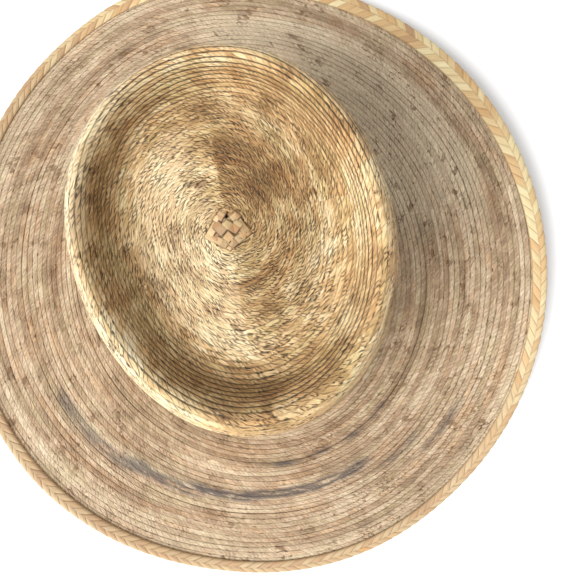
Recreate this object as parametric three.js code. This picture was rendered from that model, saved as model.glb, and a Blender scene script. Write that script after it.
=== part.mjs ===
// Straw cowboy hat: a woven palm-leaf hat with an open telescope crown, a wide round brim and a braided edge.
//
// Millimetres, +Z up. Y runs along the head, from the front of the hat (-Y) to its back (+Y), and X runs
// across it. The origin is under the middle of the brim, on the surface that the hat rests on.

import * as THREE from "three";

// Driving dimensions

const strawThickness = 2.2; // the woven wall of crown and brim
const pieceGap = 0.3; // clearance between neighbouring pieces
const edgeGap = 0.7; // clearance between the brim's edge and the bottom of the braid's slot
const sideCount = 72; // facets round every ring

const headHalfWidth = 86; // outside of the crown's foot, across the head
const headHalfLength = 104.5; // and along the head
const footHeight = 21.5; // where the crown stands on the brim's sweep

const brimHalfWidth = 188; // across the head, at the outside of the braid
const brimHalfLength = 201; // along the head
const sideRise = 14; // how far the brim's sides curl up above its front and back
const riseStart = 60; // the brim is level out to here on each side of the middle

const braidWidth = 10; // of the edge braid, measured along the brim
const braidThickness = 5.4;
const braidWall = 1.3; // the leaf layers above and below the brim's edge
const braidNose = 2.2; // solid leaf outside the brim's edge

const leanHeight = 100; // the crown leans by the next two amounts from its foot up to this height
const leanSide = 1.5;
const leanBack = 3.8;

const ridgeHeight = 9; // of the soft crease along the middle of the crown's top
const ridgeHalfWidth = 52;
const ridgeHalfLength = 76;
const ridgeRounding = 2; // half width of the crease's blunt top
const ridgeTurn = THREE.MathUtils.degToRad(6); // of the crease, from the back of the hat towards +X
const topHalfWidth = 60; // the rings of the crown's top, inside its rim, are narrower than this

const tipRadius = 9.5; // of the opening at the tip, which the woven start fills
const buttonThickness = 2.6;

// Crown: the outer surface, from its foot up the wall, over the rim, down into the moat and on to the tip.
// Each ring is an oval: its half width (X), its half length (Y), its height, and how far its centre lies
// behind the leaning axis, which makes the front slope into the moat the longer one. Near the tip it also
// lies a little to one side.

const crownRings = [
  { ring: "foot", halfWidth: headHalfWidth, halfLength: headHalfLength, height: footHeight, back: 0 },
  { ring: "on the foot", halfWidth: headHalfWidth, halfLength: headHalfLength, height: 27, back: 0 },
  { ring: "low wall", halfWidth: 85.8, halfLength: 104, height: 45, back: 0 },
  { ring: "middle wall", halfWidth: 85.2, halfLength: 103.2, height: 67, back: 0 },
  { ring: "high wall", halfWidth: 84.2, halfLength: 102, height: 88, back: 0 },
  { ring: "shoulder", halfWidth: 82.2, halfLength: 100.2, height: 101, back: 0 },
  { ring: "shoulder bend", halfWidth: 79.9, halfLength: 97.8, height: 108.4, back: 0 },
  { ring: "rim outside", halfWidth: 77.2, halfLength: 95, height: 113, back: 0 },
  { ring: "rim", halfWidth: 73.8, halfLength: 91.6, height: 114.6, back: 0.4 },
  { ring: "rim inside", halfWidth: 70.2, halfLength: 88, height: 112.4, back: 1 },
  { ring: "inner bend", halfWidth: 66.6, halfLength: 84.2, height: 107, back: 2 },
  { ring: "inner wall", halfWidth: 63.6, halfLength: 80.8, height: 100.6, back: 3 },
  { ring: "inner foot", halfWidth: 60.2, halfLength: 76.6, height: 95, back: 4.2 },
  { ring: "wide moat", halfWidth: 54.5, halfLength: 69.5, height: 92.6, back: 5.2 },
  { ring: "moat", halfWidth: 44, halfLength: 56, height: 92, back: 5.4 },
  { ring: "dome foot", halfWidth: 31, halfLength: 38, height: 92.5, back: 4.6 },
  { ring: "dome", halfWidth: 19, halfLength: 21.5, height: 93, back: 3.8, side: -0.8 },
  { ring: "tip", halfWidth: tipRadius, halfLength: tipRadius, height: 93.4, back: 2.9, side: -1.2 },
];

// Brim: the upper surface, from the edge that the braid holds in to the sweep that turns up into the crown

const brimRings = [
  {
    ring: "edge",
    halfWidth: brimHalfWidth - braidNose - edgeGap,
    halfLength: brimHalfLength - braidNose - edgeGap,
    height: (braidThickness + strawThickness) / 2,
  },
  {
    ring: "lip of the braid",
    halfWidth: brimHalfWidth - braidWidth - 1,
    halfLength: brimHalfLength - braidWidth - 1,
    height: (braidThickness + strawThickness) / 2,
  },
  { ring: "outer brim", halfWidth: 160, halfLength: 174, height: 5 },
  { ring: "middle brim", halfWidth: 138, halfLength: 153, height: 6.6 },
  { ring: "inner brim", halfWidth: 115, halfLength: 131, height: 8.2 },
  { ring: "foot of the sweep", halfWidth: 97.5, halfLength: 115.4, height: 9.6 },
  { ring: "low sweep", halfWidth: 90.6, halfLength: 108.8, height: 11.6 },
  { ring: "middle sweep", halfWidth: 87.2, halfLength: 105.6, height: 14.6 },
  { ring: "high sweep", halfWidth: headHalfWidth, halfLength: headHalfLength, height: 18.2 },
  { ring: "sweep top", halfWidth: headHalfWidth, halfLength: headHalfLength, height: footHeight - pieceGap },
];

// The outline is handmade, and wanders a little from a true oval. Each wave has its number of swells round
// the hat, its size in millimetres, and the angle of its first swell, in degrees from +X towards +Y.

const brimWaves = [
  { swells: 3, size: 2.1, at: -24 },
  { swells: 4, size: 1.3, at: 8 },
];
const crownWaves = [
  { swells: 3, size: 0.9, at: 28 },
  { swells: 4, size: 0.5, at: -31 },
];

// Straw colours

const woven = { roughness: 0.8, metalness: 0 };
const crownStraw = new THREE.MeshStandardMaterial({ color: "#c39a5f", ...woven });
const brimStraw = new THREE.MeshStandardMaterial({ color: "#b08b64", ...woven });
const braidStraw = new THREE.MeshStandardMaterial({ color: "#cfae78", ...woven });
const buttonStraw = new THREE.MeshStandardMaterial({ color: "#cba46a", ...woven });

// Form

function smoothStep(from, to, value) {
  const share = THREE.MathUtils.clamp((value - from) / (to - from), 0, 1);
  return share * share * (3 - 2 * share);
}

// Sum of the waves at one angle round the hat
function wander(waves, angle) {
  let sum = 0;
  for (const wave of waves) {
    sum += wave.size * Math.cos(wave.swells * (angle - THREE.MathUtils.degToRad(wave.at)));
  }
  return sum;
}

// The middle of a ring of the crown
function ringCentre(ring) {
  const rise = smoothStep(footHeight, leanHeight, ring.height);
  return { x: rise * leanSide + (ring.side ?? 0), y: rise * leanBack + ring.back };
}

const tipRing = crownRings[crownRings.length - 1];
const tip = ringCentre(tipRing);

// Height that the crease adds at a point of the crown's top: a roof that is highest at the tip, falls
// evenly to both sides, and stays nearly level along its length until it drops at both ends
function ridgeLift(x, y) {
  const sideways = (x - tip.x) * Math.cos(ridgeTurn) - (y - tip.y) * Math.sin(ridgeTurn);
  const lengthways = (x - tip.x) * Math.sin(ridgeTurn) + (y - tip.y) * Math.cos(ridgeTurn);
  const across = Math.hypot(sideways, ridgeRounding) / ridgeHalfWidth;
  const along = lengthways / ridgeHalfLength;
  return ridgeHeight * Math.max(0, 1 - across) * Math.max(0, 1 - along ** 4);
}

// Height that the side curl adds at a distance x from the middle of the hat
function sideCurl(x) {
  return sideRise * smoothStep(riseStart, brimHalfWidth, Math.abs(x));
}

// A point of the crown's outer surface
function crownPoint(ring, angle) {
  const rise = smoothStep(footHeight, leanHeight, ring.height);
  const reach = 1 + (rise * wander(crownWaves, angle)) / headHalfWidth;
  const centre = ringCentre(ring);
  const x = centre.x + ring.halfWidth * reach * Math.cos(angle);
  const y = centre.y + ring.halfLength * reach * Math.sin(angle);
  const onTop = ring.halfWidth < topHalfWidth ? ridgeLift(x, y) : 0;
  return new THREE.Vector3(x, y, ring.height + onTop);
}

// A point of the brim's upper surface or of the braid
function brimPoint(ring, angle) {
  const share = (ring.halfWidth - headHalfWidth) / (brimHalfWidth - headHalfWidth);
  const reach = 1 + (share * wander(brimWaves, angle)) / brimHalfWidth;
  const x = ring.halfWidth * reach * Math.cos(angle);
  const y = ring.halfLength * reach * Math.sin(angle);
  return new THREE.Vector3(x, y, ring.height + share * sideCurl(x));
}

// A lathed body whose vertices are then moved to place(index in the profile, angle round the hat). The
// profile closes on itself, so the lathe makes one closed skin.
function shapedLathe(pointCount, place) {
  const profile = [];
  for (let index = 0; index <= pointCount; index += 1) {
    const turn = (2 * Math.PI * (index % pointCount)) / pointCount;
    profile.push(new THREE.Vector2(2 + Math.cos(turn), Math.sin(turn)));
  }
  const geometry = new THREE.LatheGeometry(profile, sideCount);
  const positions = geometry.attributes.position;
  for (let vertex = 0; vertex < positions.count; vertex += 1) {
    const index = (vertex % profile.length) % pointCount;
    const side = Math.floor(vertex / profile.length) % sideCount;
    const point = place(index, (2 * Math.PI * side) / sideCount);
    positions.setXYZ(vertex, point.x, point.y, point.z);
  }
  geometry.computeVertexNormals();
  return geometry;
}

// A woven wall: the surface through the rings, which run inwards and upwards, and a second skin one
// thickness behind it
function wovenWall(rings, pointAt) {
  const step = (2 * Math.PI) / sideCount;

  function normalAt(index, angle) {
    const before = rings[Math.max(index - 1, 0)];
    const after = rings[Math.min(index + 1, rings.length - 1)];
    const along = pointAt(after, angle).sub(pointAt(before, angle));
    const round = pointAt(rings[index], angle + step).sub(pointAt(rings[index], angle - step));
    return round.cross(along).normalize();
  }

  return shapedLathe(rings.length * 2, (index, angle) => {
    if (index < rings.length) {
      return pointAt(rings[index], angle);
    }
    const mirrored = 2 * rings.length - 1 - index;
    const behind = normalAt(mirrored, angle).multiplyScalar(-strawThickness);
    return pointAt(rings[mirrored], angle).add(behind);
  });
}

// The braid's section, as distances in from the hat's outline and heights above the braid's underside: a
// rounded nose, with a slot that takes the brim's edge
function braidSection() {
  const slotLow = braidWall;
  const slotHigh = braidThickness - braidWall;
  return [
    { inset: 0, height: braidThickness / 2 },
    { inset: 0.7, height: braidThickness - 1 },
    { inset: 2.8, height: braidThickness },
    { inset: braidWidth - 1.6, height: braidThickness },
    { inset: braidWidth, height: braidThickness - braidWall / 2 },
    { inset: braidWidth, height: slotHigh },
    { inset: braidNose, height: slotHigh },
    { inset: braidNose, height: slotLow },
    { inset: braidWidth, height: slotLow },
    { inset: braidWidth, height: braidWall / 2 },
    { inset: braidWidth - 1.6, height: 0 },
    { inset: 2.8, height: 0 },
    { inset: 0.7, height: 1 },
  ];
}

function makeBraid() {
  const section = braidSection();
  return shapedLathe(section.length, (index, angle) => {
    const { inset, height } = section[index];
    const ring = { halfWidth: brimHalfWidth - inset, halfLength: brimHalfLength - inset, height };
    return brimPoint(ring, angle);
  });
}

// The woven start: a slightly domed patch, set into the opening at the tip and level with the weave round it
function makeButton() {
  const radius = tipRadius - 2 * pieceGap;
  const profile = [
    new THREE.Vector2(0, 0),
    new THREE.Vector2(radius - 0.4, 0),
    new THREE.Vector2(radius, buttonThickness * 0.6),
    new THREE.Vector2(radius * 0.75, buttonThickness * 0.9),
    new THREE.Vector2(0, buttonThickness),
  ];
  const geometry = new THREE.LatheGeometry(profile, 24);
  geometry.rotateX(Math.PI / 2);
  return geometry;
}

// Assembly

const hat = new THREE.Group();

function addPiece(name, geometry, material) {
  const piece = new THREE.Mesh(geometry, material);
  piece.name = name;
  hat.add(piece);
  return piece;
}

addPiece("crown", wovenWall(crownRings, crownPoint), crownStraw);
addPiece("brim", wovenWall(brimRings, brimPoint), brimStraw);
addPiece("edge_braid", makeBraid(), braidStraw);

const button = addPiece("crown_button", makeButton(), buttonStraw);
button.position.set(tip.x, tip.y, tipRing.height + ridgeLift(tip.x, tip.y) - strawThickness);

// The wandering outline isn't quite centred, so the whole hat is moved to stand over the origin
const middle = new THREE.Box3().setFromObject(hat).getCenter(new THREE.Vector3());
hat.position.set(-middle.x, -middle.y, 0);

export default hat;
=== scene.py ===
import math

import bpy
import numpy as np
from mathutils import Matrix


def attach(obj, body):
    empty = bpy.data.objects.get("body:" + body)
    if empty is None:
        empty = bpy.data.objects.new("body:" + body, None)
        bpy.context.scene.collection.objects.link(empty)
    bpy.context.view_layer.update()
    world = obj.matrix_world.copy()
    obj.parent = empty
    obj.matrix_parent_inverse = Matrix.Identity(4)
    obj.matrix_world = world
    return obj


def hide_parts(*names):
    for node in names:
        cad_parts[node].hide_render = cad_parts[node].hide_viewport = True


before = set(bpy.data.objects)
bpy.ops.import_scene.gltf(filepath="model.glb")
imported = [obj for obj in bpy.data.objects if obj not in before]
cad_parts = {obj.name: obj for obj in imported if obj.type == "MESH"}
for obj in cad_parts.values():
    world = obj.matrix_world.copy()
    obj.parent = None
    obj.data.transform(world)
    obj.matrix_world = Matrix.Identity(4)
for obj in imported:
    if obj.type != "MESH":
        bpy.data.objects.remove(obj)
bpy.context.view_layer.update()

# Straw cowboy hat: one continuous plait of palm leaf makes the crown and the brim, row beside row from the
# woven start at the tip out to the brim's edge, which a herringbone braid binds.

bl_info = {
    "name": "Straw cowboy hat",
    "version": (1, 0, 0),
    "blender": (4, 5, 0),
    "location": "3D View > Sidebar > Straw hat",
    "description": "Weaves a palm-leaf cowboy hat with an open telescope crown and a braided edge",
    "category": "Add Mesh",
}

MM = 0.001

# Driving dimensions of the form, the same as the solids'

STRAW_THICKNESS = 2.2 * MM
FOOT_HEIGHT = 21.5 * MM
HEAD_HALF_WIDTH = 86 * MM
BRIM_HALF_WIDTH = 188 * MM
BRIM_HALF_LENGTH = 201 * MM
SIDE_RISE = 14 * MM
RISE_START = 60 * MM
BRAID_THICKNESS = 5.4 * MM
BRAID_WALL = 1.3 * MM
BRAID_NOSE = 2.2 * MM
LIP_WIDTH = 8.4 * MM
LEAN_HEIGHT = 100 * MM
LEAN_SIDE = 1.5 * MM
LEAN_BACK = 3.8 * MM
RIDGE_HEIGHT = 9 * MM
RIDGE_HALF_WIDTH = 52 * MM
RIDGE_HALF_LENGTH = 76 * MM
RIDGE_ROUNDING = 2 * MM
RIDGE_TURN = math.radians(6)

# Rings of the crown's outer surface from its tip to its foot, in millimetres: half width, half length,
# height, and how far the ring's centre lies behind and beside the leaning axis

CROWN_RINGS = [
    ("tip", 9.5, 9.5, 93.4, 2.9, -1.2),
    ("dome", 19, 21.5, 93, 3.8, -0.8),
    ("dome foot", 31, 38, 92.5, 4.6, 0),
    ("moat", 44, 56, 92, 5.4, 0),
    ("wide moat", 54.5, 69.5, 92.6, 5.2, 0),
    ("inner foot", 60.2, 76.6, 95, 4.2, 0),
    ("inner wall", 63.6, 80.8, 100.6, 3, 0),
    ("inner bend", 66.6, 84.2, 107, 2, 0),
    ("rim inside", 70.2, 88, 112.4, 1, 0),
    ("rim", 73.8, 91.6, 114.6, 0.4, 0),
    ("rim outside", 77.2, 95, 113, 0, 0),
    ("shoulder bend", 79.9, 97.8, 108.4, 0, 0),
    ("shoulder", 82.2, 100.2, 101, 0, 0),
    ("high wall", 84.2, 102, 88, 0, 0),
    ("middle wall", 85.2, 103.2, 67, 0, 0),
    ("low wall", 85.8, 104, 45, 0, 0),
    ("on the foot", 86, 104.5, 27, 0, 0),
    ("foot", 86, 104.5, 21.5, 0, 0),
]

# Rings of the brim's upper surface from the crown out to its edge, in millimetres: half width, half
# length, height

BRIM_RINGS = [
    ("sweep top", 86, 104.5, 21.2),
    ("high sweep", 86, 104.5, 18.2),
    ("middle sweep", 87.2, 105.6, 14.6),
    ("low sweep", 90.6, 108.8, 11.6),
    ("foot of the sweep", 97.5, 115.4, 9.6),
    ("inner brim", 115, 131, 8.2),
    ("middle brim", 138, 153, 6.6),
    ("outer brim", 160, 174, 5),
    ("lip of the braid", 177, 190, 3.8),
    ("edge", 185.1, 198.1, 3.8),
]
PROFILE_STEPS = 60
OUTLINE_STEPS = 721

# Waves of the handmade outlines: swells round the hat, size, angle of the first swell in degrees

CROWN_WAVES = [(3, 0.9 * MM, 28), (4, 0.5 * MM, -31)]
BRIM_WAVES = [(3, 2.1 * MM, -24), (4, 1.3 * MM, 8)]
LIP_WAVES = [(1, 1.6 * MM, 30), (2, 1 * MM, 40)]

# The plait along the surface from the tip, or from the sweep: distance, width of a row and spacing of the
# strands along a row, in millimetres, and how many strands a strand passes on its way across a row

CROWN_PLAIT = [
    ("tip", 0, 2.1, 2.5, 1.4),
    ("dome", 22, 2.2, 2.8, 1.5),
    ("moat", 50, 2.5, 3.2, 1.4),
    ("rim", 85, 3.1, 4.1, 1.2),
    ("wall", 115, 3.3, 4.4, 1.2),
]
BRIM_PLAIT = [
    ("sweep", 0, 3.2, 3.6, 1.3),
    ("inner brim", 30, 3.0, 3.4, 1.2),
    ("edge", 110, 3.4, 3.8, 1.2),
]

# Each new piece's first row, the row after its last one, and the columns of points round it. The last
# piece ends with the plait.

CROWN_PIECES = [
    ("crown_centre", 0, 17, 480),
    ("crown_rim", 17, 36, 640),
    ("crown_wall", 36, None, 480),
]
BRIM_PIECES = [
    ("brim_inner", 0, 11, 720),
    ("brim_middle", 11, 22, 720),
    ("brim_outer", 22, None, 720),
]
PIECE_GAP_ROWS = 0.02

# Where the rings of points lie in each row, as shares of its width, on the outer and the inner skin

OUTER_STEPS = np.array([0, 0.1, 0.35, 0.65, 0.9])
INNER_STEPS = np.array([0, 0.5])

# Waves of the rows and of how plainly the brim's grooves show: size, swells round the hat, drift of their
# start from one row to the next. The rows' sizes are in rows.

ROW_WAVES = [(0.12, 2, 0.31), (0.08, 5, -0.83), (0.05, 11, 1.7)]
BRIM_GROOVE_WAVES = [(0.12, 3, 0.9), (0.08, 7, -0.5)]

# Waves that make some strands of a row broad and some narrow: size in strands, strands to a wave, drift of
# their start from one row to the next

STRAND_WAVES = [(0.35, 5.3, 2.1), (0.12, 2.7, 5.3)]

ROW_FLATNESS = 8
BACK_RELIEF = 0.6
STILL_ROWS = 3
FAINT_GROOVE = 0.25
BRIM_GROOVE = 0.5

# Where the crown's grooves start to show plainly, how much later at the right, and the rows over which
# they come up before and after it

PLAIN_ROWS_START = 26
PLAIN_ROWS_LEAN = 2
PLAIN_ROWS_BEFORE = 5
PLAIN_ROWS_AFTER = 3
TIP_ROWS_START = 0.3
TIP_ROWS_END = 2

# Where the grooves are pressed flat: place, first and last row, the angle of the middle from +X, half the
# angle in degrees, share of the grooves that is lost

PRESSED = [
    ("front right of the rim", 34, 38, -55, 50, 0.7),
    ("left inner wall", 20, 34, 170, 36, 0.45),
    ("left shoulder", 36, 60, 190, 85, 0.85),
    ("right shoulder", 38, 60, -10, 60, 0.25),
]

# Painted shade, and painted light where the strength is below 0: place, first and last row, the angle of
# the middle from +X, half the angle in degrees, strength. On the crown the painted shade darkens the inner
# walls, where shade falls inside the crown, and the right shoulder, which faces away from the lamp. The
# painted light is a painted highlight on the left shoulder and the back left of the rim, and a painted
# sheen left of the tip. The crease's painted shade shows only to its right, on the slope that faces away
# from the lamp.

CROWN_LIGHT_AND_SHADE = [
    ("left and front inner wall", 25, 31, 210, 80, 0.3),
    ("front inner wall", 27, 34, 265, 35, 0.3),
    ("left shoulder", 36, 46, 168, 58, -0.5),
    ("back left of the rim", 31, 36, 138, 22, -0.4),
    ("right shoulder", 38, 60, -10, 70, 0.4),
    ("right inner wall", 24, 32, 10, 50, 0.18),
    ("back inner wall", 22, 31, 95, 45, 0.25),
    ("left of the tip", 1, 20, 190, 75, -0.3),
]
CREASE_SHADE = [
    ("right half", -2, 18, 0, 180, 0.4),
    ("right of the tip", 0, 11, 0, 60, 0.2),
    ("behind the tip", 3, 14, 58, 32, 0.6),
]
# On the brim the painted light lifts the crown's cast shadow at the upper right and right and the braid's
# shadow beside the braid, and the painted shade darkens the brim at the crown's foot in front.
BRIM_LIGHT_AND_SHADE = [
    ("beside the braid", 30, 40, 0, 180, -0.25),
    ("upper right", 8, 24, 42, 34, -0.7),
    ("right of the crown", 2, 10, -5, 40, -0.2),
    ("beside the crown, in front", 2, 12, 270, 60, 0.3),
]
TONE_EDGE_ROWS = 2
TONE_EDGE_DEGREES = 20
CREASE_EDGE = 1 * MM

# Water marks: row, half width in rows, first and last angle from the front towards +X in degrees, strength

STAINS = [
    (20.8, 1.8, -72, -44, 0.6),
    (19.4, 1.8, -48, -28, 0.75),
    (18.4, 1.7, -31, -14, 0.85),
    (17.6, 1.6, -17, 15, 0.8),
    (20.6, 1.3, 17, 29, 0.5),
    (24.0, 1.3, 26, 40, 0.5),
    (11.5, 0.9, -9, -3, 0.9),
    (11.3, 0.9, 2, 7, 0.9),
    (11.3, 0.9, 12, 18, 0.8),
    (11.0, 0.9, 21, 28, 0.6),
]
STAIN_EDGE_DEGREES = 3

# The edge braid's outer surface from its upper lip to the middle of its nose: band of the herringbone,
# share of the lip's width, height in millimetres

BRAID_SECTION = np.array([
    (0, 1, 4.7), (0.3, 0.86, 5.3), (0.75, 0.62, 5.4), (1, 0.5, 5.4),
    (1.35, 0.3, 5.4), (1.7, 0.1, 4.85), (1.86, 0.02, 3.9), (2, 0, 2.7),
])
BRAID_SAMPLES = 17
BRAID_COLUMNS = 8
BRAID_SLANT = 0.9
BRAID_SEAM_DEPTH = 0.5
BRAID_SEAM_WIDTH = 0.12
BRAID_RELIEF_HEIGHT = 2.2 * MM
BRAID_NOSE_SHARE = 0.25
SLOT_BANDS = [4.2, 4.4, 4.6, 4.8]
LAST_BAND = 5.0

# The strips of the woven start, four each way: direction in degrees, place beside the middle in strips,
# width in millimetres, and how far the strip reaches both ways in millimetres

START_STRIPS = [
    (24, -1.5, 4.6, 8.0, 9.5),
    (38, -0.5, 5.2, 11.0, 9.0),
    (29, 0.5, 4.8, 9.5, 11.5),
    (44, 1.5, 4.6, 8.5, 8.5),
    (112, -1.5, 4.8, 8.5, 7.0),
    (131, -0.5, 4.8, 10.0, 11.0),
    (118, 0.5, 5.4, 9.0, 9.5),
    (136, 1.5, 4.4, 7.5, 10.0),
]
STRIPS_EACH_WAY = 4
STRIP_STEPS = 49
STRIP_PITCH = 4.6 * MM
STRIP_THICKNESS = 0.4 * MM
STRIP_WAVE = 0.4 * MM
STRIP_LIFT = 0.1 * MM
STRIP_DIP = 1.1 * MM
STRIP_DIP_LENGTH = 2.5 * MM

# A strip's section: place across it in widths, height in thicknesses, place across the leaf's picture

STRIP_SECTION = np.array([
    (-0.5, -0.5, 0.02), (-0.5, 0.3, 0.04), (-0.42, 0.5, 0.1),
    (0.42, 0.5, 0.9), (0.5, 0.3, 0.96), (0.5, -0.5, 0.98),
])

# Colours of the straw from dark to pale: place on the ramp, colour as a screen shows it

CROWN_PALETTE = [(0.1, "aa885c"), (0.35, "cfae7e"), (0.55, "e4ca9c"), (0.75, "f1ddb6"), (0.95, "faefd6")]
BRIM_PALETTE = [(0.1, "8a735c"), (0.35, "aa9276"), (0.55, "c0a98e"), (0.75, "d1bea3"), (0.95, "decfb8")]
BRAID_PALETTE = [(0.05, "a5876a"), (0.25, "bd9a6c"), (0.45, "c8b084"), (0.65, "cfbf96"), (0.9, "d8cda8")]
BRAID_FIBRES = [(0.25, "8a7a66"), (0.55, "bcb6ac"), (0.8, "e6e2da")]
START_PALETTE = [(0.2, "8c7252"), (0.5, "b89c76"), (0.8, "d6c2a0")]
TINTS = [(0.15, "f4f4dc"), (0.4, "fffcf2"), (0.62, "fff4ea"), (0.85, "ffe6c8")]
# The tint that painted shade multiplies into the straw, and the pale colour that painted light blends it
# towards
PAINTED_SHADE_TINT = (0.72, 0.64, 0.53, 1)
PAINTED_LIGHT_COLOUR = "f3e2c2"
BROWN_STRAND = "6b4a28"
BROWN_STRIP = "8d6238"
BROWN_BRAID = "ba8650"
# Painted shade for the braid's side towards the lamp
BRAID_LAMPWARD_SHADE = "ab9073"
BRAID_SHADE = "5a4125"
WATER_MARK = "423d3e"

# How the plaits look, on the crown and on the brim: the scales of the broad patches and of the clusters of
# dark strands, how far each strand's own tone, the patches, the bands, the clusters, the tint and the
# fibres move its colour, the shares of strands that are brown, that leave pits and that have dark edges,
# how dark an edge is, the width of that edge and of a row in millimetres, and the colour of what lies in
# shade

LOOKS = [
    ("patch_scale", 24.0, 45.0),
    ("cluster_scale", 70.0, 80.0),
    ("tone", 0.3, 0.22),
    ("patches", 0.4, 0.15),
    ("bands", 0.25, 0.42),
    ("clusters", 0.18, 0.1),
    ("tint", 0.6, 0.6),
    ("fibre", 0.42, 0.5),
    ("browns", 0.05, 0.04),
    ("pits", 0.8, 0.5),
    ("edges", 0.85, 0.4),
    ("edge", 1.0, 0.75),
    ("line", 0.85, 0.75),
    ("row_width", 2.6, 3.3),
    ("shade", "1f1408", "503a20"),
    ("roughness", 0.62, 0.66),
    ("gloss", 0.35, 0.4),
]
CROWN_LOOK = {name: crown for name, crown, _ in LOOKS}
BRIM_LOOK = {name: brim for name, _, brim in LOOKS}
BRAID_GLOSS = 0.4
START_SHADE = "33220f"
START_GLOSS = 0.35

# The stage

CAMERA_PLACE = (22.1 * MM, -55.1 * MM, 399.4 * MM)
CAMERA_TURN = (3.959, 1.376, -16.468)
CAMERA_LENS = 37.24
CAMERA_SENSOR = 36
CAMERA_NEAR = 10 * MM
KEY_PLACE = (-2.03, -1.0, 2.1)
KEY_SIZE = 2.1
KEY_AIM = (0, 0, 50 * MM)
FLOOR_HALF = 2.0
FLOOR_ROUGHNESS = 0.9


# Form


def smooth_step(low, high, value):
    """0 below low, 1 above high, and the cubic 3 t^2 - 2 t^3 between them."""
    share = np.clip((value - low) / (high - low), 0, 1)
    return share * share * (3 - 2 * share)


def wander(waves, angle):
    """The sum of the waves: each is its size times the cosine of its swells times the angle from its
    start."""
    total = np.zeros_like(angle)
    for swells, size, start in waves:
        total = total + size * np.cos(swells * (angle - math.radians(start)))
    return total


def row_waves(waves, rows, angle):
    """The sum of the waves: each is its size times the sine of its swells times the angle, plus its drift
    times the rows."""
    total = 0
    for size, swells, drift in waves:
        total = total + size * np.sin(swells * angle + drift * rows)
    return total


def smooth_columns(table, steps):
    """Carries a smooth curve through a table's rows. Between two rows each column follows the cubic whose
    slope at a row is half the difference of the row's neighbours."""
    values = np.array(table, float)
    place = np.linspace(0, len(values) - 1, steps)
    index = np.minimum(place.astype(int), len(values) - 2)
    t = (place - index)[:, None]
    before = values[np.maximum(index - 1, 0)]
    here = values[index]
    there = values[index + 1]
    after = values[np.minimum(index + 2, len(values) - 1)]
    slope = (there - before) * t
    bend = (2 * before - 5 * here + 4 * there - after) * t ** 2
    twist = (3 * here - before - 3 * there + after) * t ** 3
    return here + (slope + bend + twist) / 2


def brim_form(ring, angle):
    """Oval rings whose outline wanders more towards the edge, and whose sides curl up."""
    half_width, half_length, height = ring
    share = (half_width - HEAD_HALF_WIDTH) / (BRIM_HALF_WIDTH - HEAD_HALF_WIDTH)
    reach = 1 + share * wander(BRIM_WAVES, angle) / BRIM_HALF_WIDTH
    x = half_width * reach * np.cos(angle)
    y = half_length * reach * np.sin(angle)
    curl = SIDE_RISE * smooth_step(RISE_START, BRIM_HALF_WIDTH, np.abs(x))
    return x, y, height + share * curl


def centring_shift():
    """The move that stands the hat over its origin: minus the middle of the outline's box."""
    angle = np.linspace(0, 2 * np.pi, OUTLINE_STEPS)
    x, y, _ = brim_form((BRIM_HALF_WIDTH, BRIM_HALF_LENGTH, 0), angle)
    return -(x.min() + x.max()) / 2, -(y.min() + y.max()) / 2


SHIFT_X, SHIFT_Y = centring_shift()


def over_origin(x, y, height):
    """Points from their three coordinates, moved to where the hat stands over its origin."""
    return np.stack([x + SHIFT_X, y + SHIFT_Y, height], axis=-1)


def brim_surface(ring, angle):
    """The brim's form over the origin."""
    return over_origin(*brim_form(ring, angle))


def tip_centre():
    """The middle of the crown's tip, before the hat is moved over its origin."""
    _, _, _, height, back, side = CROWN_RINGS[0]
    rise = smooth_step(FOOT_HEIGHT, LEAN_HEIGHT, height * MM)
    return rise * LEAN_SIDE + side * MM, rise * LEAN_BACK + back * MM


def crease_place(x, y):
    """How far a place lies beside the crease and along it. The crease's back end is turned a little
    towards +X."""
    tip_x, tip_y = tip_centre()
    sideways = (x - tip_x) * math.cos(RIDGE_TURN) - (y - tip_y) * math.sin(RIDGE_TURN)
    lengthways = (x - tip_x) * math.sin(RIDGE_TURN) + (y - tip_y) * math.cos(RIDGE_TURN)
    return sideways, lengthways


def ridge_lift(x, y):
    """The crease: its height times a tent across it with a blunt top, times one less the fourth power of
    the share of the way to its ends."""
    sideways, lengthways = crease_place(x, y)
    across = np.hypot(sideways, RIDGE_ROUNDING) / RIDGE_HALF_WIDTH
    along = lengthways / RIDGE_HALF_LENGTH
    return RIDGE_HEIGHT * np.maximum(0, 1 - across) * np.maximum(0, 1 - along ** 4)


def crown_surface(ring, angle):
    """Oval rings that lean with their height, with a soft crease that is highest at the tip."""
    half_width, half_length, height, back, side = ring
    rise = smooth_step(FOOT_HEIGHT, LEAN_HEIGHT, height)
    reach = 1 + rise * wander(CROWN_WAVES, angle) / HEAD_HALF_WIDTH
    x = rise * LEAN_SIDE + side + half_width * reach * np.cos(angle)
    y = rise * LEAN_BACK + back + half_length * reach * np.sin(angle)
    return over_origin(x, y, height + ridge_lift(x, y))


# Painted light and shade, and how plainly the grooves show


def within(first, last, value, edge):
    """1 between the first and the last value, easing to 0 over the edge's width on both sides."""
    return smooth_step(first - edge, first, value) * smooth_step(-last - edge, -last, -value)


def toned(tones, rows, angle):
    """The sum of the tones' strengths, each on its stretch of rows and angles."""
    total = np.zeros(np.broadcast_shapes(rows.shape, angle.shape))
    for _, first, last, middle, half, strength in tones:
        turn = np.degrees((angle - math.radians(middle) + np.pi) % (2 * np.pi) - np.pi)
        stretch = within(first, last, rows, TONE_EDGE_ROWS) * within(-half, half, turn, TONE_EDGE_DEGREES)
        total = total + strength * stretch
    return total


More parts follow.
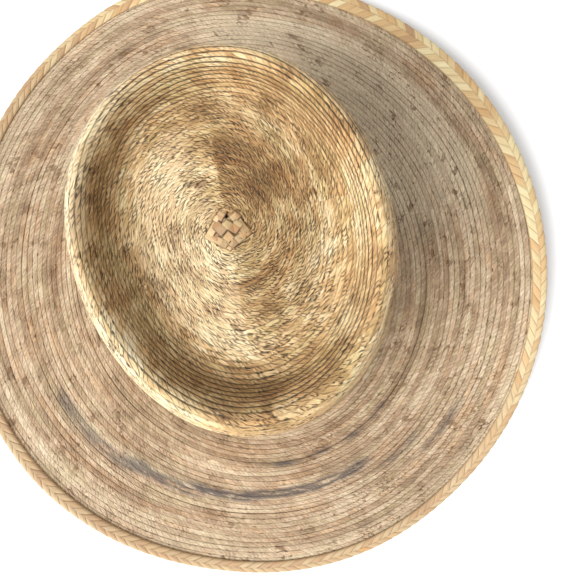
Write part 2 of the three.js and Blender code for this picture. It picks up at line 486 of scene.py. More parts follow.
def crown_light_and_shade(rows, angle, points):
    """How much painted shade the crown's straw takes, or painted light below 0. The crease's painted shade
    ends sharply at the crease."""
    sideways, _ = crease_place(points[..., 0] - SHIFT_X, points[..., 1] - SHIFT_Y)
    beyond = smooth_step(-CREASE_EDGE, CREASE_EDGE, sideways)
    return toned(CROWN_LIGHT_AND_SHADE, rows, angle) + toned(CREASE_SHADE, rows, angle) * beyond


def brim_light_and_shade(rows, angle, points):
    """How much painted shade the brim's straw takes, or painted light below 0."""
    return toned(BRIM_LIGHT_AND_SHADE, rows, angle)


def crown_grooves(rows, angle):
    """How plainly the crown's grooves show, from 0 to 1: faint from the tip to the plain rows, which
    start a little further out at the right, and less where they are pressed flat."""
    start = PLAIN_ROWS_START + PLAIN_ROWS_LEAN * np.cos(angle)
    plain = smooth_step(start - PLAIN_ROWS_BEFORE, start + PLAIN_ROWS_AFTER, rows)
    shown = FAINT_GROOVE + (1 - FAINT_GROOVE) * plain
    return shown * smooth_step(TIP_ROWS_START, TIP_ROWS_END, rows) * (1 - toned(PRESSED, rows, angle))


def brim_grooves(rows, angle):
    """How plainly the brim's grooves show: half as much as the rim's, swelling in slow waves."""
    return BRIM_GROOVE + row_waves(BRIM_GROOVE_WAVES, rows, angle)


# Weave


class Plait:
    """A plaited surface: rings smoothed into one profile, the rows of the plait laid along it, and how
    plainly its grooves show and how much painted shade and painted light its straw takes."""

    def __init__(self, rings, plait, surface, grooves, tone):
        self.surface = surface
        self.grooves = grooves
        self.tone = tone
        self.columns = smooth_columns([ring[1:] for ring in rings], PROFILE_STEPS * len(rings)) * MM
        reach = (self.columns[:, 0] + self.columns[:, 1]) / 2
        steps = np.hypot(np.diff(reach), np.diff(self.columns[:, 2]))
        length = np.concatenate([[0], np.cumsum(steps)])
        distance, width, spacing, slant = np.array([entry[1:] for entry in plait]).T
        row_width = np.interp(length, distance * MM, width * MM)
        self.spacing = np.interp(length, distance * MM, spacing * MM)
        self.slant = np.interp(length, distance * MM, slant)
        rows = np.concatenate([[0], np.cumsum(steps / (row_width[1:] + row_width[:-1]) * 2)])
        self.count = round(rows[-1])
        self.rows = rows * self.count / rows[-1]

    def ring_at(self, rows):
        """The ring's columns at a place along the profile that is measured in rows."""
        return [np.interp(rows, self.rows, column) for column in self.columns.T]

    def strands_at(self, row):
        """How many strands cross one row on their way round: the row's length over the strands' spacing."""
        half_width, half_length = self.ring_at(row + 0.5)[:2]
        spacing = np.interp(row + 0.5, self.rows, self.spacing)
        return np.round(np.pi * (half_width + half_length) / spacing)

    def slant_at(self, row):
        """How many strands a strand passes on its way across one row."""
        return np.interp(row + 0.5, self.rows, self.slant)

    def wobble(self, rows, angle):
        """How far the rows stray from their even places, in rows: slow waves round the hat that fade out
        at the first and the last row."""
        ends = smooth_step(0, STILL_ROWS, rows) * smooth_step(0, STILL_ROWS, self.count - rows)
        return ends * row_waves(ROW_WAVES, rows, angle)

    def point(self, rows, angle):
        """Points of the smooth surface at a place in rows and an angle."""
        return self.surface(self.ring_at(rows + self.wobble(rows, angle)), angle)

    def normal(self, rows, angle):
        """Outward normals: the cross product of the step round the hat and the step back along the rows."""
        small_rows = 0.05
        small_angle = 0.004
        along = self.point(rows - small_rows, angle) - self.point(rows + small_rows, angle)
        around = self.point(rows, angle + small_angle) - self.point(rows, angle - small_angle)
        cross = np.cross(around, along)
        return cross / np.linalg.norm(cross, axis=-1, keepdims=True)


def row_relief(across):
    """A row's section: level along its middle, falling to -1 in the grooves at its two sides."""
    return -np.abs(2 * across - 1) ** ROW_FLATNESS


def strand_relief(phase):
    """A strand's section: 0 along its middle and -1 between two strands."""
    return (np.cos(2 * np.pi * phase) - 1) / 2


def strand_phase(strands, row, turn):
    """Strands counted round a row, with waves that make some strands broad and some narrow and start
    elsewhere in each row."""
    phase = strands * turn / (2 * np.pi)
    for size, span, drift in STRAND_WAVES:
        phase = phase + size * np.sin(np.round(strands / span) * turn + drift * row)
    return phase


def plait_rings(first, last):
    """Where the rings of points lie, in rows, out along the outer skin and back along the inner one, and
    which of them are on the outer skin."""
    whole = np.arange(first, last)[:, None]
    outer = np.append((whole + OUTER_STEPS).ravel(), last)
    inner = np.append((whole + INNER_STEPS).ravel(), last)[::-1]
    place = np.concatenate([outer, inner])
    return place, np.arange(len(place)) < len(outer)


def plait_uv(plait, place, first, last, columns):
    """The plait's UV pairs. V counts rows. U counts strands round the row, less the row's slant times
    the share of the way across it."""
    next_place = np.roll(place, -1)
    row = np.clip(np.floor((place + next_place) / 2), first, last - 1)[:, None]
    turn = (2 * np.pi * np.arange(columns + 1) / columns)[None, :]
    phase = strand_phase(plait.strands_at(row), row, turn)
    low_v = place[:, None]
    high_v = next_place[:, None]
    low_tilt = plait.slant_at(row) * (low_v - row)
    high_tilt = plait.slant_at(row) * (high_v - row)
    return leaning_uv(phase, low_v, high_v, -low_tilt, -high_tilt)


def weave_piece(name, plait, first, last, columns, weave, material):
    """One closed ring of the plait. Its outer skin sinks into the grooves between rows and strands, and
    its inner one lies a thickness behind. The strands' phase grows round a row and falls across it."""
    last = plait.count if last is None else last
    place, is_outer = plait_rings(first, last)
    rows = np.clip(place, first + PIECE_GAP_ROWS, last - PIECE_GAP_ROWS)[:, None]
    turn = (2 * np.pi * np.arange(columns) / columns)[None, :]
    row = np.minimum(np.floor(place), last - 1)[:, None]
    across = place[:, None] - row
    phase = strand_phase(plait.strands_at(row), row, turn) - plait.slant_at(row) * across
    plain = plait.grooves(rows, turn)
    relief = weave.row_depth * row_relief(across)
    sunk = relief * plain + weave.strand_depth * strand_relief(phase) * np.sqrt(np.sin(np.pi * across))
    behind = -STRAW_THICKNESS - BACK_RELIEF * relief
    depth = np.where(is_outer[:, None], sunk, behind)
    points = plait.point(rows, turn) + plait.normal(rows, turn) * depth[..., None]
    spacing = np.interp(rows, plait.rows, plait.spacing) / MM
    # The last attribute is the straw's painted shade, and painted light below 0
    attributes = {
        "groove": np.broadcast_to(plain, depth.shape),
        "spacing": np.broadcast_to(spacing, depth.shape),
        "browned": plait.tone(rows, turn, points),
    }
    quads = ring_quads(len(place), columns)
    corner_uv = plait_uv(plait, place, first, last, columns)
    return make_piece(name, points.reshape(-1, 3), quads, corner_uv, material, attributes)


# Meshes


def signed_volume(points, quads):
    """The volume inside a closed mesh of quads, negative if its faces point inwards: the sum over its
    triangles of a corner's dot product with the cross product of the other two, over six."""
    total = 0
    for second, third in ((1, 2), (2, 3)):
        cross = np.cross(points[quads[:, second]], points[quads[:, third]])
        total += np.einsum("ij,ij->", points[quads[:, 0]], cross) / 6
    return total


def ring_quads(ring_count, columns):
    """Quads of a surface that closes both ways: each joins two neighbouring rings and two columns."""
    ring, column = np.meshgrid(np.arange(ring_count), np.arange(columns), indexing="ij")
    next_ring = (ring + 1) % ring_count
    next_column = (column + 1) % columns
    corners = [(ring, column), (ring, next_column), (next_ring, next_column), (next_ring, column)]
    return np.stack([(r * columns + c).ravel() for r, c in corners], axis=1)


def leaning_uv(strand, low, high, low_lean, high_lean):
    """A UV pair for each corner of each quad. U is the strand at the quad's two sides plus its lean at
    the quad's low and high ends, and V is the ends' own values."""
    corners = [
        (strand[:, :-1] + low_lean, low),
        (strand[:, 1:] + low_lean, low),
        (strand[:, 1:] + high_lean, high),
        (strand[:, :-1] + high_lean, high),
    ]
    pairs = [np.stack(np.broadcast_arrays(u, v), axis=-1) for u, v in corners]
    return np.stack(pairs, axis=2).reshape(-1, 4, 2)


def make_piece(name, points, quads, corner_uv, material, attributes=None):
    """A mesh object from arrays of points, quads and one UV pair for each corner of each quad."""
    if signed_volume(points, quads) < 0:
        quads = quads[:, ::-1]
        corner_uv = corner_uv[:, ::-1]
    mesh = bpy.data.meshes.new(name)
    mesh.vertices.add(len(points))
    mesh.vertices.foreach_set("co", points.astype(np.float32).ravel())
    mesh.loops.add(quads.size)
    mesh.loops.foreach_set("vertex_index", quads.astype(np.int32).ravel())
    mesh.polygons.add(len(quads))
    mesh.polygons.foreach_set("loop_start", np.arange(0, quads.size, 4, dtype=np.int32))
    uv_map = mesh.uv_layers.new(name="plait")
    uv_map.uv.foreach_set("vector", corner_uv.astype(np.float32).ravel())
    for attribute_name, values in (attributes or {}).items():
        attribute = mesh.attributes.new(attribute_name, "FLOAT", "POINT")
        attribute.data.foreach_set("value", values.astype(np.float32).ravel())
    mesh.update(calc_edges=True)
    mesh.validate()
    mesh.shade_smooth()
    mesh.materials.append(material)
    piece = bpy.data.objects.new(name, mesh)
    bpy.context.scene.collection.objects.link(piece)
    return piece


# Edge braid


def braid_section():
    """The braid's outer surface from its upper lip round the nose to its lower lip: the share of the
    width, the height and the band of each of its points. The lower half mirrors the upper one."""
    table_band, table_share, table_height = BRAID_SECTION.T
    band = np.linspace(0, 2, BRAID_SAMPLES)
    share = np.interp(band, table_band, table_share)
    height = np.interp(band, table_band, table_height * MM)
    return (
        np.concatenate([share, share[-2::-1]]),
        np.concatenate([height, BRAID_THICKNESS - height[-2::-1]]),
        np.concatenate([band, 4 - band[-2::-1]]),
    )


def braid_swing(band):
    """The to and fro of a herringbone: 0 at each even band and 1 at each odd one."""
    return np.abs((band + 1) % 2 - 1)


def braid_lean(band, beside):
    """How many strands a strand has leant at a band. It swings to and fro, and the two bands round the
    nose start half a strand on."""
    return BRAID_SLANT * braid_swing(band) + np.where((beside >= 1) & (beside < 3), 0.5, 0)


def braid_uv(count, columns, band):
    """The braid's UV pairs: U counts strands along the edge with their lean, and V counts bands."""
    edges = np.concatenate([band, SLOT_BANDS, [LAST_BAND]])[:, None]
    low = edges[:-1]
    high = edges[1:]
    middle = (low + high) / 2
    low_lean = braid_lean(low, middle)
    high_lean = braid_lean(high, middle)
    strand = (count * np.arange(columns + 1) / columns)[None, :]
    return leaning_uv(strand, low, high, low_lean, high_lean)


def make_edge_braid(name, braid, material):
    """A ring with a slot for the brim's edge. Its outer surface dips between the strands by the cube of
    the share of the way from a strand's middle, and along the seams where the bands turn back."""
    count = round(math.pi * (BRIM_HALF_WIDTH + BRIM_HALF_LENGTH) / braid.step)
    columns = BRAID_COLUMNS * count
    angle = (2 * np.pi * np.arange(columns) / columns)[None, :]
    width = LIP_WIDTH + wander(LIP_WAVES, angle)
    share, height, band = braid_section()

    phase = count * angle / (2 * np.pi) + braid_lean(band, band)[:, None]
    strand_dip = np.abs(2 * (phase % 1) - 1) ** 3
    seam_dip = BRAID_SEAM_DEPTH * np.exp(-(braid_swing(band) / BRAID_SEAM_WIDTH) ** 2)
    dip = -braid.depth * (strand_dip + seam_dip[:, None])
    above = height - BRAID_THICKNESS / 2
    upright = np.sign(above) * smooth_step(0, BRAID_RELIEF_HEIGHT, np.abs(above))
    inward = 1 - smooth_step(0, BRAID_NOSE_SHARE, share)
    outer_inset = share[:, None] * width - dip * inward[:, None]
    outer_height = height[:, None] + dip * upright[:, None]

    nose = np.full_like(width, BRAID_NOSE)
    slot_low = np.full_like(width, BRAID_WALL)
    slot_high = np.full_like(width, BRAID_THICKNESS - BRAID_WALL)
    inset = np.vstack([outer_inset, width, nose, nose, width])
    level = np.vstack([outer_height, slot_low, slot_low, slot_high, slot_high])
    ring = (BRIM_HALF_WIDTH - inset, BRIM_HALF_LENGTH - inset, level)
    points = brim_surface(ring, np.broadcast_to(angle, inset.shape))
    quads = ring_quads(len(points), columns)
    return make_piece(name, points.reshape(-1, 3), quads, braid_uv(count, columns, band), material)


# Woven start


def bar_quads(steps, sides):
    """Quads round a bar of so many steps and six sides, with two quads that close each end."""
    body = ring_quads(steps, sides)[:-sides]
    near = np.array([(5, 2, 1, 0), (4, 3, 2, 5)])
    far = near[:, ::-1] + (steps - 1) * sides
    return np.concatenate([body, near, far])


def woven_strip(strip, degrees, offset, width, first_end, last_end):
    """The points of one strip, a flat bar that follows the crease, and the crossings counted along it.
    It rises and falls as a sine over and under the other strips, and its ends dip into the weave."""
    section_across, section_height, _ = STRIP_SECTION.T
    side = offset * STRIP_PITCH + section_across[None, :] * width * MM
    along = np.linspace(-first_end * MM, last_end * MM, STRIP_STEPS)[:, None]
    angle = math.radians(degrees)
    tip_x, tip_y = tip_centre()
    x = tip_x + along * math.cos(angle) - side * math.sin(angle)
    y = tip_y + along * math.sin(angle) + side * math.cos(angle)
    crossing = along / STRIP_PITCH + offset + strip // STRIPS_EACH_WAY
    rise = STRIP_WAVE * np.sin(math.pi * crossing)
    to_end = np.minimum(along + first_end * MM, last_end * MM - along)
    dip = STRIP_DIP * (1 - smooth_step(0, STRIP_DIP_LENGTH, to_end))
    base = CROWN_RINGS[0][3] * MM + ridge_lift(x, y) + STRIP_LIFT
    height = base + rise - dip + section_height[None, :] * STRIP_THICKNESS
    return over_origin(x, y, height).reshape(-1, 3), crossing[:, 0]


def make_woven_start(name, material):
    """Strips in two directions that lie over the opening at the tip and end on the first rows, some
    further out than others. U counts strips and goes across each, and V counts crossings."""
    sides = len(STRIP_SECTION)
    faces = bar_quads(STRIP_STEPS, sides)
    picture = STRIP_SECTION[:, 2]
    points = []
    quads = []
    corner_uv = []
    for strip, numbers in enumerate(START_STRIPS):
        bar, crossing = woven_strip(strip, *numbers)
        points.append(bar)
        quads.append(faces + strip * len(bar))
        u = strip + picture[faces % sides]
        v = crossing[faces // sides] + 0.5
        corner_uv.append(np.stack([u, v], axis=-1))
    joined = [np.concatenate(arrays) for arrays in (points, quads, corner_uv)]
    return make_piece(name, *joined, material)


# Finishes


class Wire:
    """One output socket of a finish. Arithmetic on it adds the Math node for that step."""

    def __init__(self, finish, socket):
        self.finish = finish
        self.socket = socket

    def __add__(self, other):
        return self.finish.maths("ADD", self, other)

    def __sub__(self, other):
        return self.finish.maths("SUBTRACT", self, other)

    def __rsub__(self, other):
        return self.finish.maths("SUBTRACT", other, self)

    def __mul__(self, other):
        return self.finish.maths("MULTIPLY", self, other)

    __radd__ = __add__
    __rmul__ = __mul__


class Finish:
    """A material whose nodes are written as Python expressions."""

    def __init__(self, name):
        self.material = bpy.data.materials.new(name)
        self.material.use_nodes = True
        self.tree = self.material.node_tree
        self.tree.nodes.clear()

    def node(self, kind, settings=None, inputs=None):
        """Adds a node, makes its settings, then gives its sockets their values or links."""
        made = self.tree.nodes.new(kind)
        for setting, value in (settings or {}).items():
            if setting == "stops":
                self.set_stops(made.color_ramp, value)
            else:
                setattr(made, setting, value)
        for socket, value in (inputs or {}).items():
            if isinstance(value, Wire):
                self.tree.links.new(value.socket, made.inputs[socket])
            else:
                made.inputs[socket].default_value = value
        return made

    @staticmethod
    def set_stops(ramp, stops):
        """Gives a colour ramp its stops, each a place and a colour as a screen shows it."""
        while len(ramp.elements) < len(stops):
            ramp.elements.new(1)
        for element, (place, colour) in zip(ramp.elements, stops):
            element.position = place
            element.color = srgb(colour)

    def wire(self, node, output=0):
        return Wire(self, node.outputs[output])

    def maths(self, operation, *values):
        settings = {"operation": operation}
        return self.wire(self.node("ShaderNodeMath", settings, dict(enumerate(values))))

    def split(self, value):
        """The whole number at or below the value, and the share of the way to the next one."""
        whole = self.maths("FLOOR", value)
        return whole, value - whole

    def least(self, first, second):
        return self.maths("MINIMUM", first, second)

    def most(self, first, second):
        return self.maths("MAXIMUM", first, second)

    def size(self, value):
        return self.maths("ABSOLUTE", value)

    def side(self, share):
        """How far a share of the way across is from the nearer of its two sides."""
        return self.least(share, 1 - share)

    def ease(self, value, low, high):
        """0 where the value is low, 1 where it is high, smooth between."""
        settings = {"interpolation_type": "SMOOTHSTEP"}
        inputs = {"Value": value, "From Min": low, "From Max": high}
        return self.wire(self.node("ShaderNodeMapRange", settings, inputs))

    def mix(self, factor, first, second, blend="MIX"):
        """Blends two colours."""
        settings = {"data_type": "RGBA", "blend_type": blend}
        return self.wire(self.node("ShaderNodeMix", settings, {0: factor, 6: first, 7: second}), 2)

    def scale(self, colour, factor):
        """Makes a colour lighter or darker by a factor."""
        node = self.node("ShaderNodeVectorMath", {"operation": "SCALE"}, {0: colour, "Scale": factor})
        return self.wire(node)

    def vector(self, x, y, z=0.0):
        return self.wire(self.node("ShaderNodeCombineXYZ", None, {"X": x, "Y": y, "Z": z}))

    def parts(self, vector):
        node = self.node("ShaderNodeSeparateXYZ", None, {"Vector": vector})
        return self.wire(node, "X"), self.wire(node, "Y"), self.wire(node, "Z")

    def noise(self, vector, scale=1.0, detail=3.0, roughness=0.6):
        inputs = {"Vector": vector, "Scale": scale, "Detail": detail, "Roughness": roughness}
        return self.wire(self.node("ShaderNodeTexNoise", {"noise_dimensions": "3D"}, inputs))

    def mottle(self, vector, scale=1.0, low=0.3, high=0.7, detail=3.0, roughness=0.6):
        """Noise with its low places at 0 and its high places at 1."""
        return self.ease(self.noise(vector, scale, detail, roughness), low, high)

    def chance(self, x, y):
        """A random number and three more for each pair of whole numbers."""
        settings = {"noise_dimensions": "2D"}
        node = self.node("ShaderNodeTexWhiteNoise", settings, {"Vector": self.vector(x, y)})
        return self.wire(node, "Value"), *self.parts(self.wire(node, "Color"))

    def ramp(self, value, stops):
        return self.wire(self.node("ShaderNodeValToRGB", {"stops": stops}, {"Fac": value}))

    def uv(self):
        u, v, _ = self.parts(self.wire(self.node("ShaderNodeUVMap", {"uv_map": "plait"})))
        return u, v

    def place(self):
        return self.wire(self.node("ShaderNodeTexCoord"), "Object")

    def attribute(self, name):
        return self.wire(self.node("ShaderNodeAttribute", {"attribute_name": name}), "Fac")

    def done(self, colour, roughness, height_mm, gloss):
        """Joins the colour, the roughness, the height and the strength of the gloss to the surface."""
        bump = self.node("ShaderNodeBump", None, {"Strength": 1.0, "Distance": MM, "Height": height_mm})
        inputs = {
            "Base Color": colour,
            "Roughness": roughness,
            "Normal": self.wire(bump),
            "Specular IOR Level": gloss,
        }
        surface = self.node("ShaderNodeBsdfPrincipled", None, inputs)
        self.node("ShaderNodeOutputMaterial", None, {"Surface": self.wire(surface)})
        return self.material


def srgb(hex_colour):
    """A colour as the nodes take it, from the six hexadecimal digits that a screen shows."""
    channels = [int(hex_colour[start:start + 2], 16) / 255 for start in (0, 2, 4)]
    linear = [c / 12.92 if c <= 0.04045 else ((c + 0.055) / 1.055) ** 2.4 for c in channels]
    return (*linear, 1.0)


def plaited_leaf(name, palette, look, marks=None):
    """Plaited palm leaf. Each strand takes its tone from the palette, moved by broad patches and by bands
    along the rows, and a tint, then painted shade darkens it and painted light makes it paler. Fibres run
    along it, its edges are darker on part of their way, and where it dives under the next row it leaves a
    dark pit. The grooves between the rows are darkened, partly as dirt and partly as painted shade. Some
    strands are brown."""
    finish = Finish(name)
    u, v = finish.uv()
    spot = finish.place()
    plain = finish.attribute("groove")
    spacing = finish.attribute("spacing")
    # The straw's painted shade above 0 and painted light below 0, split into its two parts
    painted_light_and_shade = finish.attribute("browned")
    browned = finish.most(painted_light_and_shade, 0)
    painted_light = finish.most(0 - painted_light_and_shade, 0)

    strand, along = finish.split(u)
    row, across = finish.split(v)
    tone, second, third, fourth = finish.chance(strand, row)
    patches = finish.mottle(spot, look["patch_scale"])
    clusters = finish.mottle(spot, look["cluster_scale"], low=0.45, high=0.68)
    bands = finish.mottle(finish.vector(u * 0.03, v * 0.5, 5.0), roughness=0.5)
    hues = finish.mottle(finish.vector(u * 0.11, v * 0.3, 2.0))

    # The leaf's own colour, then painted shade that darkens it and painted light that makes it paler

    share = 0.5 + look["tone"] * (tone - 0.5) + look["patches"] * (patches - 0.5)
    share = share + look["bands"] * (bands - 0.5) - look["clusters"] * clusters - 0.15 * browned
    colour = finish.ramp(share, palette)
    tint = finish.ramp(0.25 * third + 0.75 * hues, TINTS)
    colour = finish.mix(look["tint"], colour, tint, "MULTIPLY")
    colour = finish.mix(browned, colour, PAINTED_SHADE_TINT, "MULTIPLY")
    colour = finish.mix(0.6 * painted_light, colour, srgb(PAINTED_LIGHT_COLOUR))

    # Fibres, which show more under the painted shade, and brown strands

    fibre_start = strand * 7.31 + row * 3.17
    fibre_place = finish.vector(along * spacing * 1.3 + fibre_start, across * 3.0 + tone * 9.0)
    fibre = finish.mottle(fibre_place, low=0.34, high=0.68, roughness=0.7)
    colour = finish.scale(colour, 1 + look["fibre"] * (1 + 0.6 * browned) * (fibre - 0.5))
    brown_chance = second + 0.35 * (clusters - 0.5) + 0.2 * (0.5 - fibre)
    brown = finish.ease(brown_chance, 1 - look["browns"], 1.05 - look["browns"])
    colour = finish.mix(brown * 0.7, colour, srgb(BROWN_STRAND))

    # Dark edges between neighbouring strands, on part of their way across the row, more of them under the
    # painted shade

    edge_part = 1 - finish.ease(finish.size(across - second), 0.1 + 0.2 * plain, 0.4 + 0.4 * plain)
    edge_chance = third + 0.4 * (clusters - 0.5) + 0.4 * browned
    edge_strength = 0.3 + 0.7 * finish.ease(edge_chance, 1 - look["edges"], 1.3 - look["edges"])
    edge_width = look["line"] * (1 - 0.3 * plain)
    edge_line = (1 - finish.ease(finish.side(along) * spacing, 0.4 * edge_width, edge_width)) * edge_part
    edge_dark = edge_line * edge_strength * look["edge"] * (1 - 0.3 * plain)

    # Pits where strands dive under the next row, and the grooves between the rows, broken into dashes. The
    # grooves' dark colour is partly dirt and partly painted shade.

    row_side = finish.side(across) * look["row_width"]
    pit_part = 1 - finish.ease(finish.size(along - (0.25 + 0.5 * fourth)), 0.12, 0.38)
    pit_chance = finish.ease(third + 0.5 * (clusters - 0.5), 1 - look["pits"], 1.15 - look["pits"])
    pit = (1 - finish.ease(row_side, 0.3, 0.8)) * pit_part * pit_chance
    dashes = finish.mottle(finish.vector(u * 0.7, v, 3.0), high=0.6, detail=2.0, roughness=0.5)
    groove_line = (1 - finish.ease(row_side, 0.1, 0.5)) * plain
    groove_dirt_and_shade = groove_line * (0.5 + 0.4 * dashes)
    dark = finish.most(finish.most(edge_dark, groove_dirt_and_shade), pit * (0.4 + 0.6 * tone))
    colour = finish.mix(dark, colour, srgb(look["shade"]))
    if marks:
        colour = marks(finish, colour, spot, u, v)

    height = 0.2 * fibre - 0.3 * edge_line - 0.3 * groove_line - 0.25 * pit
    return finish.done(colour, look["roughness"] - 0.12 * fibre, height, look["gloss"])


def stained(finish, colour, spot, u, v):
    """Blue-grey water marks, broken into dashes, that follow the brim's rows round the front."""
    x, y, _ = finish.parts(spot)
    turn = finish.maths("ARCTAN2", x, 0 - y)
    cloud = finish.mottle(finish.vector(u * 0.3, v * 0.9, 7.0), high=0.55)
    edge = STAIN_EDGE_DEGREES
    for row, half_rows, start, end, strength in STAINS:
        ring = 1 - finish.ease(finish.size(v - row), 0.3 * half_rows, half_rows)
        opening = finish.ease(turn, math.radians(start - edge), math.radians(start + edge))
        closing = 1 - finish.ease(turn, math.radians(end - edge), math.radians(end + edge))
        colour = finish.mix(ring * opening * closing * cloud * strength, colour, srgb(WATER_MARK))
    return colour


def braided_leaf(name):
    """The edge braid: broad flat strands, each with its own tone, dark where one dives under the next, and
    darkened by painted shade on its side towards the lamp, so that it is palest at the back right."""
    finish = Finish(name)
    u, v = finish.uv()
    strand, along = finish.split(u)
    band, across = finish.split(v)
    tone, second, _, _ = finish.chance(strand, band)
    fibre = finish.noise(finish.vector(along * 7.0 + strand * 31.0, v * 0.6 + tone * 9.0))
    spot = finish.place()
    x, y, _ = finish.parts(spot)
    # Painted shade: the braid is dulled on its side towards the lamp, at the front and left, to damp the
    # lamp's light there
    pale = finish.ease(0.8 * x + 0.6 * y, -0.05, 0.15)
    patches = finish.noise(spot, 9.0, 2.0, 0.5)
    colour = finish.ramp(0.5 + 0.7 * (tone - 0.5) + 0.5 * (patches - 0.5), BRAID_PALETTE)
    colour = finish.mix(0.7 * (1 - pale), colour, srgb(BRAID_LAMPWARD_SHADE))
    colour = finish.mix(0.45, colour, finish.ramp(fibre, BRAID_FIBRES), "OVERLAY")
    brown = finish.ease(second, 0.8, 0.86) * finish.ease(patches, 0.42, 0.6)
    colour = finish.mix(brown * 0.6, colour, srgb(BROWN_BRAID))
    edge_line = 1 - finish.ease(finish.side(along), 0.0, 0.12)
    band_line = 1 - finish.ease(finish.side(across), 0.0, 0.12)
    colour = finish.mix(finish.most(edge_line * 0.4 * tone, band_line * 0.25), colour, srgb(BRAID_SHADE))
    return finish.done(colour, 0.7 - 0.2 * fibre, 0.15 * fibre - 0.2 * edge_line, BRAID_GLOSS)


def start_leaf(name):
    """Flat leaf strips. Each stretch of a strip between two crossings has its own tone, and the leaf is
    darker along its edges."""
    finish = Finish(name)
    u, v = finish.uv()
    strip, across = finish.split(u)
    stretch, _ = finish.split(v)
    tone, second, third, _ = finish.chance(strip, stretch)
    fibre = finish.noise(finish.vector(u * 9.0, v * 0.9))
    colour = finish.ramp(0.3 * fibre + 0.7 * tone, START_PALETTE)
    colour = finish.mix(0.6, colour, finish.ramp(third, TINTS), "MULTIPLY")
    brown = finish.ease(second, 0.72, 0.78)
    colour = finish.mix(brown * 0.8, colour, srgb(BROWN_STRIP))
    edge_line = 1 - finish.ease(finish.side(across), 0.05, 0.19)
    colour = finish.mix(edge_line * (0.5 + 0.5 * third), colour, srgb(START_SHADE))
    return finish.done(colour, 0.65 - 0.2 * fibre, 0.12 * fibre - 0.2 * edge_line, START_GLOSS)


# Pieces


class HatWeaveSettings(bpy.types.PropertyGroup):
    """How deep the plait is worked."""

    row_depth: bpy.props.FloatProperty(
        name="Groove depth",
        description="Depth of the grooves between the rows of the plait",
        default=0.4 * MM,
        unit="LENGTH",
    )
    strand_depth: bpy.props.FloatProperty(
        name="Strand depth",
        description="Depth of the dips between the strands of a row",
        default=0.22 * MM,
        unit="LENGTH",
    )


class HatBraidSettings(bpy.types.PropertyGroup):
    """The herringbone braid on the brim's edge."""

    step: bpy.props.FloatProperty(
        name="Strand width",
        description="Width of one strand, measured along the edge",
        default=7.2 * MM,
        unit="LENGTH",
    )
    depth: bpy.props.FloatProperty(
        name="Relief",
        description="Depth of the dips between the strands",
        default=0.35 * MM,
        unit="LENGTH",
    )


class HatStageSettings(bpy.types.PropertyGroup):
    """Floor, light and camera."""

    floor_colour: bpy.props.FloatVectorProperty(
        name="Floor",
        description="Colour of the floor",
        subtype="COLOR",
        default=(0.92, 0.92, 0.92),
    )
    key_power: bpy.props.FloatProperty(
        name="Key light",
        description="Power of the large soft light beside the hat, in watts",
        default=160,
    )
    sky_strength: bpy.props.FloatProperty(
        name="Sky",
        description="Strength of the even light from all round",
        default=0.75,
    )


class HAT_OT_crown(bpy.types.Operator):
    """Weave the crown in three rings: the centre of its top, its rim and its wall"""

    bl_idname = "straw_hat.crown"
    bl_label = "Crown"

    def execute(self, context):
        plait = Plait(CROWN_RINGS, CROWN_PLAIT, crown_surface, crown_grooves, crown_light_and_shade)
        straw = plaited_leaf("crown_straw", CROWN_PALETTE, CROWN_LOOK)
        for name, first, last, columns in CROWN_PIECES:
            piece = weave_piece(name, plait, first, last, columns, context.scene.hat_weave, straw)
            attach(piece, "root")
            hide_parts("crown")
        return {"FINISHED"}


class HAT_OT_brim(bpy.types.Operator):
    """Weave the brim in three rings, from the sweep below the crown out to the edge"""

    bl_idname = "straw_hat.brim"
    bl_label = "Brim"

    def execute(self, context):
        plait = Plait(BRIM_RINGS, BRIM_PLAIT, brim_surface, brim_grooves, brim_light_and_shade)
        straw = plaited_leaf("brim_straw", BRIM_PALETTE, BRIM_LOOK, stained)
        for name, first, last, columns in BRIM_PIECES:
            piece = weave_piece(name, plait, first, last, columns, context.scene.hat_weave, straw)
            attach(piece, "root")
            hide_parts("brim")
        return {"FINISHED"}


class HAT_OT_edge_braid(bpy.types.Operator):
    """Plait the herringbone braid that binds the brim's edge"""

    bl_idname = "straw_hat.edge_braid"
    bl_label = "Edge braid"

    def execute(self, context):
        piece = make_edge_braid("edge_plait", context.scene.hat_braid, braided_leaf("edge_straw"))
        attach(piece, "root")
        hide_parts("edge_braid")
        return {"FINISHED"}


class HAT_OT_woven_start(bpy.types.Operator):
    """Interlace the flat strips that the plait starts from"""

    bl_idname = "straw_hat.woven_start"
    bl_label = "Woven start"

    def execute(self, context):
        piece = make_woven_start("woven_start", start_leaf("start_straw"))
        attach(piece, "root")
        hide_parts("crown_button")
        return {"FINISHED"}


# Stage


def make_floor(colour):
    """A level square just under the hat."""
    half = FLOOR_HALF
    mesh = bpy.data.meshes.new("floor")
    corners = [(-half, -half, 0), (half, -half, 0), (half, half, 0), (-half, half, 0)]
    mesh.from_pydata(corners, [], [(0, 1, 2, 3)])
    finish = Finish("floor")
    inputs = {"Base Color": (*colour, 1), "Roughness": FLOOR_ROUGHNESS}
    surface = finish.node("ShaderNodeBsdfPrincipled", None, inputs)
    finish.node("ShaderNodeOutputMaterial", None, {"Surface": finish.wire(surface)})
    mesh.materials.append(finish.material)
    floor = bpy.data.objects.new("floor", mesh)
    bpy.context.scene.collection.objects.link(floor)


def make_light(power):
    """A square soft light that faces the middle of the hat."""
    data = bpy.data.lights.new("key", "AREA")
    data.shape = "SQUARE"
    data.size = KEY_SIZE
    data.energy = power
    light = bpy.data.objects.new("key", data)
    light.location = KEY_PLACE
    aim = np.array(KEY_AIM) - np.array(KEY_PLACE)
    reach = math.hypot(aim[0], aim[1])
    light.rotation_euler = (math.atan2(reach, -aim[2]), 0, math.atan2(aim[1], aim[0]) - math.pi / 2)
    bpy.context.scene.collection.objects.link(light)


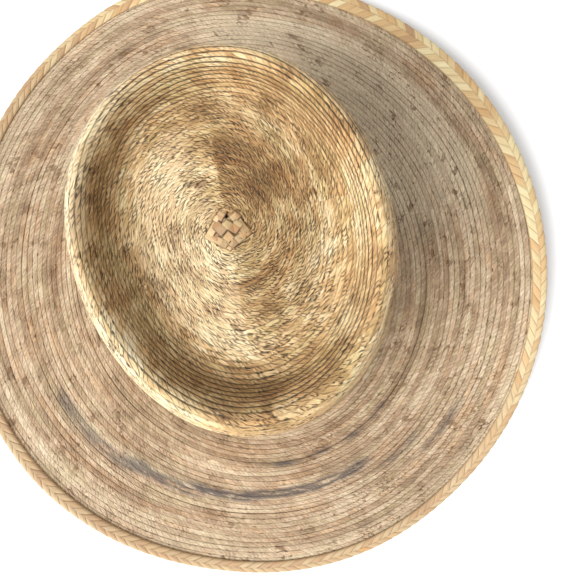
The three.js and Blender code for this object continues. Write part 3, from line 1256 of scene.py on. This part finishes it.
def make_sky(strength):
    """Even white light from all round."""
    world = bpy.data.worlds.new("studio")
    world.use_nodes = True
    background = world.node_tree.nodes["Background"]
    background.inputs["Color"].default_value = (1, 1, 1, 1)
    background.inputs["Strength"].default_value = strength
    bpy.context.scene.world = world


def make_camera():
    """The camera above the hat, a little in front of its middle."""
    data = bpy.data.cameras.new("camera")
    data.lens = CAMERA_LENS
    data.sensor_width = CAMERA_SENSOR
    data.clip_start = CAMERA_NEAR
    camera = bpy.data.objects.new("camera", data)
    camera.location = CAMERA_PLACE
    camera.rotation_euler = [math.radians(angle) for angle in CAMERA_TURN]
    bpy.context.scene.collection.objects.link(camera)
    bpy.context.scene.camera = camera


class HAT_OT_stage(bpy.types.Operator):
    """Lay the pale floor, hang the soft light and set up the camera above the hat"""

    bl_idname = "straw_hat.stage"
    bl_label = "Stage"

    def execute(self, context):
        settings = context.scene.hat_stage
        make_floor(settings.floor_colour)
        context.scene.view_settings.view_transform = "Standard"
        make_light(settings.key_power)
        make_sky(settings.sky_strength)
        make_camera()
        return {"FINISHED"}


class HAT_PT_panel(bpy.types.Panel):
    """Lists the hat's pieces and their settings"""

    bl_label = "Straw hat"
    bl_idname = "HAT_PT_panel"
    bl_space_type = "VIEW_3D"
    bl_region_type = "UI"
    bl_category = "Straw hat"

    def draw(self, context):
        layout = self.layout
        for group in (context.scene.hat_weave, context.scene.hat_braid, context.scene.hat_stage):
            for setting in group.__annotations__:
                layout.prop(group, setting)
        for operator in OPERATORS:
            layout.operator(operator.bl_idname)


SETTINGS = {
    "hat_weave": HatWeaveSettings,
    "hat_braid": HatBraidSettings,
    "hat_stage": HatStageSettings,
}
OPERATORS = (HAT_OT_stage, HAT_OT_crown, HAT_OT_brim, HAT_OT_edge_braid, HAT_OT_woven_start)


def register():
    for made_class in (*SETTINGS.values(), *OPERATORS, HAT_PT_panel):
        bpy.utils.register_class(made_class)
    for name, group in SETTINGS.items():
        setattr(bpy.types.Scene, name, bpy.props.PointerProperty(type=group))


def unregister():
    for name in SETTINGS:
        delattr(bpy.types.Scene, name)
    for made_class in reversed((*SETTINGS.values(), *OPERATORS, HAT_PT_panel)):
        bpy.utils.unregister_class(made_class)


def main():
    register()
    bpy.ops.straw_hat.stage()
    bpy.ops.straw_hat.crown()
    bpy.ops.straw_hat.brim()
    bpy.ops.straw_hat.edge_braid()
    bpy.ops.straw_hat.woven_start()


if __name__ == "__main__":
    main()
